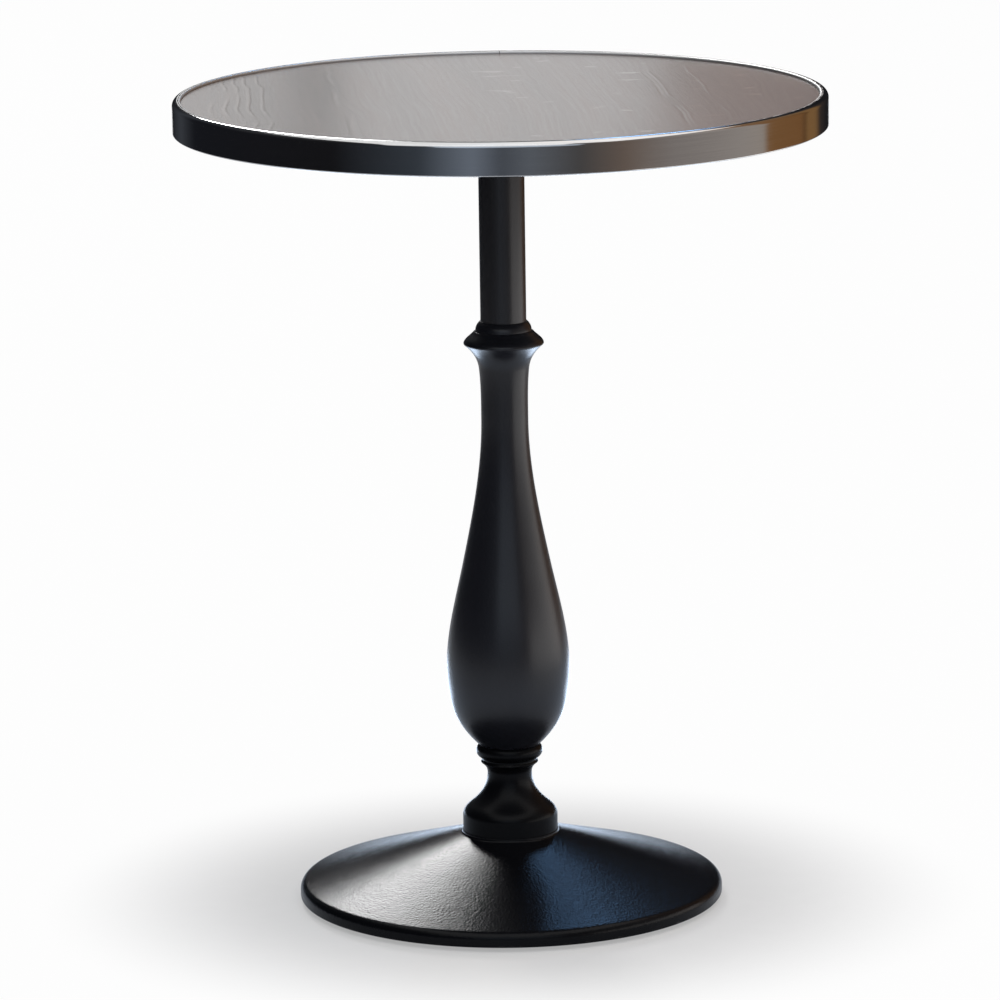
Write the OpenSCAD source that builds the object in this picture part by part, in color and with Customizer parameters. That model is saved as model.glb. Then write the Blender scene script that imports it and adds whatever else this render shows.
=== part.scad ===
// Round bistro table: a steel-banded laminate top on a turned cast pedestal.
// One tie rod clamps the pedestal's castings and the pole between the base and the top's spider.
// Millimetres, +Z up. The origin is on the floor, under the middle of the table.

/* [Table top] */
// Diameter over the steel edge band
top_d = 600; // [500:5:720]
// Height of the lip's crest above the floor, with the feet screwed home
table_h = 758; // [720:1:1100]
// Thickness of the board's core
core_t = 25; // [18:0.5:36]
// Bevel of the core's upper edge, inside the band's bend
core_bevel = 1.6; // [1:0.1:2.4]
// Thickness of each laminate sheet
laminate_t = 0.9; // [0.7:0.1:1.5]

/* [Edge band] */
// Thickness of the band's steel sheet
band_t = 1.2; // [0.8:0.1:1.6]
// Height of the lip above the table surface
lip_h = 2.4; // [1.8:0.1:5]
// Width of the lip, seen from above
lip_w = 8.2; // [7:0.1:12]
// Outside radius of the lip's outer bend
lip_bend = 5; // [3:0.1:5]
// Outside radius of the lip's inner bend
lip_inner_bend = 2; // [1.4:0.1:2.8]
// Inside radius of the band's lower bend
lower_bend = 0.5; // [0.1:0.1:0.6]
// Width of the band's return under the board
return_w = 9; // [5:0.5:20]

/* [Spider] */
// Diameter of the circle through the ends of the spider's arms
spider_d = 360; // [300:5:440]
// Thickness of the spider's arms
arm_t = 7; // [5:0.5:10]
// Width of an arm where it leaves the hub
arm_root_w = 44; // [32:1:56]
// Width of an arm at its rounded end
arm_end_w = 26; // [18:1:32]
// Diameter of the spider's hub
spider_hub_d = 72; // [62:1:90]
// Thickness of the hub's floor under the nut
hub_floor_t = 8; // [6:0.5:14]
// Thickness of the gusset under each arm
gusset_t = 8; // [5:0.5:14]
// Depth of a gusset at the hub
gusset_h = 12; // [6:0.5:14]
// Length of the plug that centres the hub in the pole
plug_len = 22; // [12:1:40]

/* [Screws] */
// Shank diameter of the wood screws
screw_d = 5; // [4:0.1:6]
// Depth that a screw bites into the board
screw_bite = 15; // [8:0.5:16]
// Diameter of a screw's domed head
screw_head_d = 10; // [8:0.1:12]
// Height of a screw's domed head
screw_head_h = 3; // [2:0.1:4]
// Distance between the two screws of an arm
screw_pitch = 60; // [40:1:65]

/* [Pole] */
// Outside diameter of the pole's tube
pole_d = 42.4; // [38:0.1:45]
// Wall of the pole's tube
pole_wall = 2.6; // [2:0.1:4]
// Depth of the socket that takes the pole's lower end
socket_depth = 14; // [8:0.5:18]

/* [Collar] */
// Height of the collar ring
collar_h = 21.4; // [18:0.2:30]
// Diameter over the collar's edge
collar_d = 74.2; // [68:0.2:90]
// Height of that edge above the baluster's cup
collar_edge_at = 0.8; // [0.5:0.1:2]
// Diameter of the collar's upper bead
collar_bead_d = 52; // [50:0.2:56]
// Height of the collar's upper bead
collar_bead_h = 8.6; // [5:0.2:10]
// Thickness of the collar's feather edge against the pole
collar_feather = 0.6; // [0.4:0.1:1.5]

/* [Baluster] */
// Height of the baluster, from its seat to its cup
baluster_h = 379; // [330:1:440]
// Diameter of the baluster's foot
baluster_foot_d = 56.4; // [52:0.2:60]
// Flare of the bulb above the foot, in degrees from upright
bulb_flare = 47; // [35:1:52]
// Diameter of the bulb
bulb_d = 114.4; // [96:0.2:130]
// Height of the bulb's widest line above the foot
bulb_at = 75; // [65:1:90]
// Diameter halfway up the taper above the bulb
taper_d = 82; // [70:0.2:92]
// Height of that diameter above the foot
taper_at = 172; // [150:1:190]
// Lean of the taper there, in degrees from upright
taper_lean = 12; // [8:0.5:16]
// Diameter of the neck
neck_d = 43.6; // [40:0.2:50]
// Distance from the neck's thinnest line up to the cup
neck_drop = 71; // [55:1:85]
// Diameter of the throat under the cup
throat_d = 46.4; // [44:0.2:52]
// Distance from the throat up to the cup
throat_drop = 23; // [18:0.5:30]
// Diameter of the cup's rim
cup_d = 73.6; // [66:0.2:74]
// Flare of the cup's rim, in degrees from upright
cup_flare = 51; // [40:1:56]
// Wall of the hollow casting
baluster_wall = 6; // [4:0.25:8]
// Thickness of the casting's floor
baluster_floor = 12; // [8:0.5:20]

/* [Spool] */
// Height of the spool, from the base to the baluster's seat
spool_h = 81.8; // [72:0.2:106]
// Diameter of the spool's plinth
plinth_d = 88.4; // [78:0.2:100]
// Height of the plinth's upright side
plinth_h = 14.3; // [8:0.1:20]
// Diameter at the middle of the plinth's shoulder
shoulder_d = 74.4; // [66:0.2:76]
// Height of that diameter above the plinth's side
shoulder_rise = 10.8; // [8:0.2:14]
// Lean of the shoulder there, in degrees from upright
shoulder_lean = 52; // [40:1:60]
// Diameter of the waist
waist_d = 41.4; // [36:0.2:48]
// Distance from the waist up to the spool's top
waist_drop = 26.8; // [24:0.2:30]
// Diameter of the sharp fillet above the waist
fillet_d = 53.2; // [50.4:0.2:56]
// Distance from that fillet up to the spool's top
fillet_drop = 17.3; // [16:0.1:18]
// Diameter of the half-round ring
ring_d = 62; // [58:0.2:68]
// Radius of the half-round ring's section
ring_section = 7.2; // [7:0.1:8]
// Distance from the ring's widest line up to the spool's top
ring_drop = 6; // [5:0.1:6.5]
// Depth of the groove under the ring, below the fillet's edge
groove_depth = 1.2; // [0.6:0.1:2]
// Diameter of the cored hole through the spool
spool_core_d = 24; // [18:0.5:27]

/* [Base] */
// Diameter over the base's rim
base_d = 395; // [340:1:460]
// Height of the casting, from its rim to the column's seat
base_h = 61.2; // [54:0.2:84]
// Height of the rim's side, up to the edge of the cone
rim_h = 14.8; // [12:0.2:18]
// Rounding between the rim's side and the cone
rim_round = 8; // [3:0.1:9]
// Rounding of the rim's lower edge
rim_foot_round = 2; // [1:0.1:3]
// Width of the rim's underside
rim_w = 11; // [8:0.5:16]
// Wall of the cone
base_wall = 8; // [6:0.25:10]
// Margin of the flat seat around the plinth
seat_margin = 0.3; // [0.2:0.1:3]
// Height of the seat's edge above the cone, and radius of the fillet between the two
seat_rise = 2.6; // [1.5:0.1:5]
// Thickness of the plate under the column's seat
seat_t = 17.2; // [12:0.2:22]
// Diameter of the hub under the seat, at its lower end
base_hub_d = 58; // [46:1:70]
// Height of the hub's lower face above the rim
base_hub_at = 22; // [20:0.5:28]
// Thickness of the ribs
rib_t = 8; // [5:0.5:12]
// Height of the ribs' lower edge above the rim
rib_at = 12; // [8:0.5:16]
// Draft of the cast bosses, in degrees
draft = 4; // [1:0.5:6]
// Height of the spigots that centre the castings
spigot_h = 5; // [3:0.5:8]

/* [Tie rod] */
// Diameter of the tie rod
rod_d = 12; // [8:0.5:14]
// Width of the nuts across their flats
nut_w = 19; // [17:0.5:22]
// Height of the nuts
nut_h = 10; // [6:0.5:12]
// Diameter of the washer in the spider's hub
top_washer_d = 24; // [23:0.5:28]
// Diameter of the washer under the base's hub
base_washer_d = 37; // [26:0.5:42]
// Thickness of both washers
washer_t = 2.5; // [1.5:0.1:3]
// Length of rod that stands past each nut
rod_tail = 2; // [1:0.5:4]

/* [Feet] */
// Clearance under the base's rim with the feet screwed home
foot_gap = 4; // [2:0.5:8]
// Distance from the rim in to the middle of a foot
foot_inset = 42.5; // [36:0.5:60]
// Diameter of a foot's pad
pad_d = 32; // [26:0.5:40]
// Height of a foot's pad
pad_h = 6; // [5:0.25:8]
// Thickness of the pad's disc
pad_rim_h = 3; // [2:0.25:3.5]
// Diameter of the pad's socket boss
pad_boss_d = 17; // [15:0.5:20]
// Thickness of the pad's sole under the stud
pad_sole_t = 2; // [1.5:0.1:3]
// Diameter of the stud's thread
stud_d = 8; // [6:0.5:10]
// Width of the stud's hexagon across its flats
hex_w = 13; // [11:0.5:15]
// Height of the stud's hexagon
hex_h = 4; // [3:0.25:5]
// Length of the stud's thread above the hexagon
thread_len = 13; // [10:0.5:14]
// Diameter of the boss that each stud screws into
stud_boss_d = 22; // [18:0.5:28]

/* [Fits] */
// Gap around pieces that are laid into others
lay_gap = 0.15; // [0.05:0.05:0.3]
// Radial clearance of spigots, sockets and plugs
spigot_gap = 0.2; // [0.1:0.05:0.5]
// Radial clearance of the tie rod in its holes
rod_gap = 0.5; // [0.3:0.1:1]
// Radial clearance of threads and turning fits
turning_gap = 0.05; // [0.02:0.01:0.1]
// End clearance of the studs
end_gap = 0.3; // [0.1:0.05:0.5]

/* [Hidden] */
$fn = 96;
feet = 4;
arms = 4;
bend_steps = 8;
turning_steps = 16;

// Heights in the stack, from the floor up
seat_z = foot_gap + base_h;
spool_top_z = seat_z + spool_h;
cup_z = spool_top_z + baluster_h;
socket_z = cup_z - socket_depth;
surface_z = table_h - lip_h;
core_top_z = surface_z - laminate_t;
core_z = core_top_z - core_t;
board_z = core_z - laminate_t;

// Tie rod and spider
nut_stack = washer_t + nut_h + rod_tail;
spider_hub_h = hub_floor_t + nut_stack + end_gap;
pole_top_z = board_z - spider_hub_h;
base_hub_z = foot_gap + base_hub_at;
arm_end_r = spider_d / 2 - arm_end_w / 2;
inner_screw_r = arm_end_r - screw_pitch;

// Band and pole
top_r = top_d / 2;
board_r = top_r - band_t - lay_gap;
pole_r = pole_d / 2;

// Base cone: the line from the foot of the seat's edge that touches the rim's rounding
base_r = base_d / 2;
seat_r = plinth_d / 2 + seat_margin;
rim_centre = [base_r - rim_round, foot_gap + rim_h - rim_round];
cone_run = rim_centre[0] - seat_r;
cone_top_z = seat_z - seat_rise;
cone_drop = cone_top_z - rim_centre[1];
cone_lean = atan2(cone_drop, cone_run) - asin(rim_round / norm([cone_run, cone_drop]));
ceiling_z = seat_z - seat_t;

// Feet
foot_r = base_r - foot_inset;
hex_z = pad_h + turning_gap;
stud_boss_z = hex_z + hex_h + end_gap;
stud_neck_r = hex_w / 2 - 1.5;

// Points of an arc about a centre, from one angle to another
function arc(centre, radius, from, to) = [
    for (i = [0:bend_steps])
        let (angle = from + (to - from) * i / bend_steps)
        centre + radius * [cos(angle), sin(angle)]
];

// Radius at a share of the way between two stations of a turning: [height, radius, slope]
function turned_radius(low, high, share) =
    let (span = high[0] - low[0], square = share * share, cube = square * share)
    (2 * cube - 3 * square + 1) * low[1]
    + (cube - 2 * square + share) * span * low[2]
    + (3 * square - 2 * cube) * high[1]
    + (cube - square) * span * high[2];

// Outline of a turning, [radius, height], that runs smoothly through its stations
function turned(stations) = [
    for (k = [0:len(stations) - 2], i = [k == 0 ? 0 : 1:turning_steps])
        let (low = stations[k], high = stations[k + 1], share = i / turning_steps)
        [turned_radius(low, high, share), low[0] + share * (high[0] - low[0])]
];

// Height of the cone's outer face at a radius
function cone_z(radius) = cone_top_z - (radius - seat_r) * tan(cone_lean);

// Height of the cone's inner face at a radius
function cone_inner_z(radius) = cone_z(radius) - base_wall / cos(cone_lean);

// Stations of the baluster, above its seat
baluster_stations = [
    [0, baluster_foot_d / 2, tan(bulb_flare)],
    [bulb_at, bulb_d / 2, 0],
    [taper_at, taper_d / 2, -tan(taper_lean)],
    [baluster_h - neck_drop, neck_d / 2, 0],
    [baluster_h - throat_drop, throat_d / 2, (cup_d - neck_d) / 2 / (2 * neck_drop)],
    [baluster_h, cup_d / 2, tan(cup_flare)],
];

module at_height(z) {
    translate([0, 0, z]) children();
}

module around(count) {
    for (i = [0:count - 1]) rotate(i * 360 / count) children();
}

// Places of the spider's screws, on each arm
module at_screws() {
    around(arms)
        for (radius = [inner_screw_r, arm_end_r])
            translate([radius, 0, 0]) children();
}

// Place of one foot, between the quarter lines
module at_foot(i) {
    rotate((i - 0.5) * 360 / feet) translate([foot_r, 0, 0]) children();
}

// Wood-grain sheet that shows inside the lip
module top_laminate() {
    color([0.26, 0.21, 0.18])
        at_height(core_top_z)
            cylinder(r = top_r - lip_w - lay_gap, h = laminate_t);
}

// Pilot holes for the spider's screws, from the board's underside
module pilot_holes() {
    at_screws() at_height(board_z - 1) cylinder(d = screw_d + 2 * turning_gap, h = screw_bite + 2);
}

module board_core() {
    color([0.72, 0.56, 0.38])
        difference() {
            at_height(core_z)
                rotate_extrude()
                    polygon([
                        [0, 0], [board_r, 0], [board_r, core_t - core_bevel],
                        [board_r - core_bevel, core_t], [0, core_t],
                    ]);
            pilot_holes();
        }
}

// Balancing sheet on the board's underside
module underside_laminate() {
    color([0.10, 0.09, 0.09])
        difference() {
            at_height(board_z) cylinder(r = board_r - lower_bend, h = laminate_t);
            pilot_holes();
        }
}

// Sheet steel rolled over the board's edge: return, side, lip and a leg down beside the laminate
module edge_band() {
    low = [top_r - band_t - lower_bend, board_z + lower_bend];
    high = [top_r - lip_bend, table_h - lip_bend];
    leg_r = top_r - lip_w;
    crest = [leg_r + lip_inner_bend, table_h - lip_inner_bend];
    outside = concat(
        [[top_r - return_w, board_z - band_t]],
        arc(low, lower_bend + band_t, -90, 0),
        arc(high, lip_bend, 0, 90),
        arc(crest, lip_inner_bend, 90, 180),
        [[leg_r, core_top_z]]
    );
    inside = concat(
        [[leg_r + band_t, core_top_z]],
        arc(crest, lip_inner_bend - band_t, 180, 90),
        arc(high, lip_bend - band_t, 90, 0),
        arc(low, lower_bend, 0, -90),
        [[top_r - return_w, board_z]]
    );
    color([0.70, 0.70, 0.70]) rotate_extrude() polygon(concat(outside, inside));
}

// One tapered arm with a rounded end, lying along +X
module spider_arm() {
    at_height(board_z - arm_t) linear_extrude(arm_t) {
        polygon([
            [0, arm_root_w / 2], [arm_end_r, arm_end_w / 2],
            [arm_end_r, -arm_end_w / 2], [0, -arm_root_w / 2],
        ]);
        translate([arm_end_r, 0]) circle(d = arm_end_w);
    }
    gusset_end = inner_screw_r - screw_head_d;
    at_height(board_z - arm_t)
        rotate([90, 0, 0])
            translate([0, 0, -gusset_t / 2])
                linear_extrude(gusset_t)
                    polygon([[0, 0], [gusset_end, 0], [spider_hub_d / 2, -gusset_h], [0, -gusset_h]]);
}

// Cast cross that carries the board, with a plug that centres it in the pole
module top_spider() {
    plug_r = pole_r - pole_wall - spigot_gap;
    recess_r = top_washer_d / 2 + rod_gap;
    color([0.06, 0.06, 0.065])
        difference() {
            union() {
                around(arms) spider_arm();
                at_height(pole_top_z) cylinder(d = spider_hub_d, h = spider_hub_h);
                at_height(pole_top_z - plug_len) cylinder(r = plug_r, h = plug_len + 1);
            }
            at_height(board_z - nut_stack - end_gap) cylinder(r = recess_r, h = nut_stack + 1);
            at_height(pole_top_z - plug_len - 1) cylinder(r = rod_d / 2 + rod_gap, h = spider_hub_h + plug_len);
            at_screws() at_height(board_z - arm_t - 1) cylinder(d = screw_d + 2 * turning_gap, h = arm_t + 2);
        }
}

// Domed wood screws that hold the board on the spider
module spider_screws() {
    tip = screw_d * 0.8;
    head_r = screw_head_d / 2;
    dome_r = (head_r * head_r + screw_head_h * screw_head_h) / (2 * screw_head_h);
    color([0.75, 0.75, 0.74])
        at_screws() at_height(board_z - arm_t) {
            cylinder(d = screw_d, h = arm_t + screw_bite - tip);
            at_height(arm_t + screw_bite - tip) cylinder(d1 = screw_d, d2 = screw_d / 5, h = tip);
            intersection() {
                at_height(dome_r - screw_head_h) sphere(r = dome_r);
                at_height(-screw_head_h) cylinder(d = screw_head_d, h = screw_head_h);
            }
        }
}

module pole_tube() {
    color([0.05, 0.05, 0.055])
        at_height(socket_z)
            difference() {
                cylinder(r = pole_r, h = pole_top_z - socket_z);
                at_height(-1) cylinder(r = pole_r - pole_wall, h = pole_top_z - socket_z + 2);
            }
}

// Moulded ring that carries the cup's edge on and closes the joint around the pole
module pole_collar() {
    bore_r = pole_r + spigot_gap;
    bead_r = collar_bead_d / 2;
    edge_r = collar_d / 2;
    bead_z = collar_h - collar_bead_h;
    slope_end = bead_r + 1.6;
    lean = (edge_r - slope_end) / (bead_z - collar_edge_at);
    outline = concat(
        turned([
            [0, cup_d / 2, 0.6],
            [collar_edge_at, edge_r, 0],
            [bead_z - 1, slope_end, -lean],
        ]),
        turned([
            [bead_z, bead_r, 0],
            [collar_h, bore_r + collar_feather, -1.1],
        ]),
        [[bore_r, collar_h], [bore_r, 0]]
    );
    color([0.05, 0.05, 0.055]) at_height(cup_z) rotate_extrude() polygon(outline);
}

// Hollow vase-shaped casting, with a socket for the pole and a spigot into the spool
module baluster() {
    outline = turned(baluster_stations);
    neck_z = baluster_h - neck_drop;
    core_r = neck_d / 2 - baluster_wall;
    spigot_r = spool_core_d / 2 - spigot_gap;
    hollow = [
        for (p = outline)
            if (p[1] > baluster_floor + 1 && p[1] <= neck_z)
                [p[0] - baluster_wall, p[1]]
    ];
    color([0.05, 0.05, 0.055])
        at_height(spool_top_z)
            difference() {
                union() {
                    rotate_extrude() polygon(concat(outline, [[0, baluster_h], [0, 0]]));
                    at_height(-spigot_h) cylinder(r = spigot_r, h = spigot_h + 1);
                }
                rotate_extrude()
                    polygon(concat(
                        [[0, baluster_floor], [hollow[0][0], baluster_floor]],
                        hollow,
                        [[core_r, baluster_h - socket_depth + 1], [0, baluster_h - socket_depth + 1]]
                    ));
                at_height(baluster_h - socket_depth) cylinder(r = pole_r + spigot_gap, h = socket_depth + 1);
                at_height(-spigot_h - 1) cylinder(r = rod_d / 2 + rod_gap, h = spigot_h + baluster_floor + 2);
            }
}

// Turned casting between the base and the baluster
module spool() {
    waist_z = spool_h - waist_drop;
    fillet_z = spool_h - fillet_drop;
    fillet_r = fillet_d / 2;
    fillet_t = 0.8;
    groove_r = fillet_r - groove_depth;
    ring_centre = [ring_d / 2 - ring_section, spool_h - ring_drop];
    outline = concat(
        [[plinth_d / 2, 0]],
        turned([
            [plinth_h, plinth_d / 2, 0],
            [plinth_h + shoulder_rise, shoulder_d / 2, -tan(shoulder_lean)],
            [waist_z, waist_d / 2, 0],
            [fillet_z, fillet_r, 1.4],
        ]),
        [[fillet_r, fillet_z + fillet_t], [groove_r, fillet_z + fillet_t + groove_depth]],
        arc(
            ring_centre, ring_section,
            -acos((groove_r - ring_centre[0]) / ring_section), asin(ring_drop / ring_section)
        )
    );
    color([0.045, 0.045, 0.05])
        at_height(seat_z)
            difference() {
                rotate_extrude() polygon(concat(outline, [[0, spool_h], [0, 0]]));
                at_height(-1) cylinder(d = spool_core_d, h = spool_h + 2);
            }
}

// Outside of the base: seat, fillet, cone, rounded rim, closed underneath
module base_envelope() {
    low = [base_r - rim_foot_round, foot_gap + rim_foot_round];
    hollow_r = seat_r + seat_rise;
    hollow = [hollow_r, cone_z(hollow_r) + seat_rise / cos(cone_lean)];
    rotate_extrude()
        polygon(concat(
            [[0, foot_gap]],
            arc(low, rim_foot_round, -90, 0),
            arc(rim_centre, rim_round, 0, 90 - cone_lean),
            arc(hollow, seat_rise, 270 - cone_lean, 180),
            [[seat_r, seat_z], [0, seat_z]]
        ));
}

// Hollow under the cone, before the hub, ribs and bosses are left standing in it
module base_hollow() {
    wall_r = base_r - rim_w;
    ceiling_r = seat_r + (cone_top_z - base_wall / cos(cone_lean) - ceiling_z) / tan(cone_lean);
    rotate_extrude()
        polygon([
            [0, foot_gap - 1], [wall_r, foot_gap - 1], [wall_r, cone_inner_z(wall_r)],
            [ceiling_r, ceiling_z], [0, ceiling_z],
        ]);
}

// What stands in the hollow: the tie rod's hub, a rib to each foot, and the feet's bosses
module base_bosses() {
    hub_rise = ceiling_z - base_hub_z + 1;
    boss_rise = ceiling_z - stud_boss_z;
    rib_start = base_hub_d / 2 - 1;
    at_height(base_hub_z)
        cylinder(d1 = base_hub_d, r2 = base_hub_d / 2 + hub_rise * tan(draft), h = hub_rise);
    for (i = [1:feet]) {
        rotate((i - 0.5) * 360 / feet)
            translate([rib_start, -rib_t / 2, foot_gap + rib_at])
                cube([foot_r - rib_start, rib_t, ceiling_z - foot_gap - rib_at + 1]);
        at_foot(i)
            at_height(stud_boss_z)
                cylinder(d1 = stud_boss_d, r2 = stud_boss_d / 2 + boss_rise * tan(draft), h = boss_rise);
    }
}

// Cast conical base
module pedestal_base() {
    spigot_r = spool_core_d / 2 - spigot_gap;
    color([0.04, 0.04, 0.045])
        difference() {
            union() {
                difference() {
                    base_envelope();
                    difference() {
                        base_hollow();
                        base_bosses();
                    }
                }
                at_height(seat_z - 1) cylinder(r = spigot_r, h = spigot_h + 1);
            }
            at_height(base_hub_z - 1) cylinder(r = rod_d / 2 + rod_gap, h = seat_z + spigot_h - base_hub_z + 2);
            for (i = [1:feet])
                at_foot(i)
                    at_height(stud_boss_z - 1) cylinder(d = stud_d + 2 * turning_gap, h = thread_len + 1);
        }
}

module tie_rod() {
    low_z = base_hub_z - nut_stack;
    color([0.72, 0.72, 0.70])
        at_height(low_z) cylinder(d = rod_d, h = board_z - end_gap - low_z);
}

// Hexagon nut on the tie rod, standing on z
module rod_nut(z) {
    color([0.72, 0.72, 0.70])
        at_height(z)
            difference() {
                cylinder(d = nut_w / cos(30), h = nut_h, $fn = 6);
                at_height(-1) cylinder(d = rod_d + 2 * turning_gap, h = nut_h + 2);
            }
}

// Flat washer on the tie rod, standing on z
module rod_washer(z, diameter) {
    color([0.75, 0.75, 0.73])
        at_height(z)
            difference() {
                cylinder(d = diameter, h = washer_t);
                at_height(-1) cylinder(r = rod_d / 2 + rod_gap, h = washer_t + 2);
            }
}

// Plastic pad of a levelling foot, with a socket for its stud
module foot_pad() {
    socket_r = stud_neck_r + turning_gap;
    chamfer = 1;
    color([0.07, 0.07, 0.07])
        rotate_extrude()
            polygon([
                [0, 0], [pad_d / 2 - chamfer, 0], [pad_d / 2, chamfer], [pad_d / 2, pad_rim_h],
                [pad_boss_d / 2 + chamfer, pad_rim_h + chamfer], [pad_boss_d / 2, pad_h],
                [socket_r, pad_h], [socket_r, pad_sole_t], [0, pad_sole_t],
            ]);
}

// Threaded stud of a levelling foot: a neck in the pad, a hexagon and the thread
module foot_stud() {
    color([0.74, 0.74, 0.73]) {
        at_height(pad_sole_t + turning_gap) cylinder(r = stud_neck_r, h = hex_z - pad_sole_t);
        at_height(hex_z) cylinder(d = hex_w / cos(30), h = hex_h, $fn = 6);
        at_height(hex_z) cylinder(d = stud_d, h = hex_h + thread_len);
    }
}

top_laminate();
board_core();
underside_laminate();
edge_band();
top_spider();
spider_screws();
pole_tube();
pole_collar();
baluster();
spool();
pedestal_base();
tie_rod();
rod_nut(board_z - nut_stack + washer_t - end_gap);  // top_nut
rod_washer(board_z - nut_stack - end_gap, top_washer_d);  // top_washer
rod_nut(base_hub_z - washer_t - nut_h);  // base_nut
rod_washer(base_hub_z - washer_t, base_washer_d);  // base_washer
for (i = [1:feet]) {
    at_foot(i) foot_pad();
    at_foot(i) foot_stud();
}
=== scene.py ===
import math

import bmesh
import bpy
from mathutils import Matrix, Vector


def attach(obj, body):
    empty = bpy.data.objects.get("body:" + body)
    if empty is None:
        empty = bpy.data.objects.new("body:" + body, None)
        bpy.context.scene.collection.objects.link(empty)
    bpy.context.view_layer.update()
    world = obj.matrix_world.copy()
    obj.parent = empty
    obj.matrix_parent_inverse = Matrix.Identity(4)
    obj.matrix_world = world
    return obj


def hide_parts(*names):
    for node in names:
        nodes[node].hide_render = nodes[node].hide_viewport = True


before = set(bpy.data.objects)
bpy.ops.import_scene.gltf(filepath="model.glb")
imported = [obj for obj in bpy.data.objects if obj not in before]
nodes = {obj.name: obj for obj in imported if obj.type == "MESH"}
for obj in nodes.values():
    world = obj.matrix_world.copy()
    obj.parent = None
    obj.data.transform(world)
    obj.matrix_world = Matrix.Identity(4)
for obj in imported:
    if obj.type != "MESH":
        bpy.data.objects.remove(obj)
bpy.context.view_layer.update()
bpy.context.scene.view_settings.view_transform = "Standard"


# Pedestal base
# A heavy iron casting: a conical shell with a rounded rim, hollow underneath, with a hub for the tie rod
# and a rib out to each foot's boss. Shot-blasted and sprayed with semi-gloss black enamel that follows the
# sand-cast skin.

MM = 0.001


def node(tree, kind, values=None, **settings):
    """A new node in a tree. Values are set on its inputs, and sockets among them are linked."""
    made = tree.nodes.new(kind)
    for name, value in settings.items():
        setattr(made, name, value)
    for name, value in (values or {}).items():
        if isinstance(value, bpy.types.NodeSocket):
            tree.links.new(value, made.inputs[name])
        else:
            made.inputs[name].default_value = value
    return made


def math_node(tree, operation, *values):
    """One sum on numbers or sockets."""
    return node(tree, "ShaderNodeMath", dict(enumerate(values)), operation=operation).outputs[0]


def turned_area(points):
    """Twice the area inside a closed outline, positive where it runs anticlockwise."""
    pairs = zip(points[-1:] + points[:-1], points)
    return sum(last[0] * here[1] - here[0] * last[1] for last, here in pairs)


STRAIGHT = 0.03  # radians of turn
WORN_ROUNDING = 3.5  # millimetres


def facet_angle(rounding):
    """Degrees of turn in one facet of a rounding: small ones need few facets, large ones mirror the room."""
    if rounding < 1.0:
        return 18.0
    return 9.0 if rounding < 3.0 else 4.5


def rounded_outline(corners):
    """A closed outline of (radius, height, edge) in millimetres from corners (radius, height, rounding).
    Edge is 1 along a small rounding that stands out, where paint thins first."""
    count = len(corners)
    area = turned_area(corners)
    points = []
    for i, (radius, height, rounding) in enumerate(corners):
        here = Vector((radius, height))
        back = Vector(corners[i - 1][:2]) - here
        ahead = Vector(corners[(i + 1) % count][:2]) - here
        room = min(back.length, ahead.length)
        back.normalize()
        ahead.normalize()
        turn = math.acos(max(-1.0, min(1.0, -back.dot(ahead))))
        if rounding <= 0 or turn < STRAIGHT:
            points.append((radius, height, 0.0))
            continue
        reach = rounding * math.tan(turn / 2)
        # A narrow flat on each side keeps the rounding's shading off the faces beside it.
        spare = min(0.1 + 0.3 * rounding, 0.3 * max(room - reach, 0.0))
        start = here + back * reach
        end = here + ahead * reach
        centre = here + (back + ahead).normalized() * rounding / math.cos(turn / 2)
        way = 1 if back.cross(ahead) < 0 else -1
        stands_out = 1.0 if way * area > 0 and rounding <= WORN_ROUNDING else 0.0
        points.append((*(start + back * spare), 0.0))
        steps = max(3, round(math.degrees(turn) / facet_angle(rounding)))
        for k in range(steps + 1):
            arm = Matrix.Rotation(way * turn * k / steps, 2) @ (start - centre)
            points.append((*(centre + arm), stands_out))
        points.append((*(end + ahead * spare), 0.0))
    return points


def new_shape_tree(name, inputs, output):
    """An empty Geometry Nodes tree with named inputs: the tree, its input sockets and their identifiers."""
    tree = bpy.data.node_groups.new(name, "GeometryNodeTree")
    identifiers = {}
    for socket, kind in inputs.items():
        made = tree.interface.new_socket(socket, in_out="INPUT", socket_type="NodeSocket" + kind)
        identifiers[socket] = made.identifier
    tree.interface.new_socket(output, in_out="OUTPUT", socket_type="NodeSocketGeometry")
    return tree, node(tree, "NodeGroupInput").outputs, identifiers


def end_shape_tree(tree, shape, finish):
    """The end of a tree: the shape is made real, gets its finish and goes out."""
    real = node(tree, "GeometryNodeRealizeInstances", {0: shape}).outputs[0]
    done = node(tree, "GeometryNodeSetMaterial", {0: real, "Material": finish}).outputs[0]
    tree.links.new(done, node(tree, "NodeGroupOutput").inputs[0])


def axes_of(tree, place):
    """The x, y and z of a place."""
    return node(tree, "ShaderNodeSeparateXYZ", {0: place}).outputs


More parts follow.
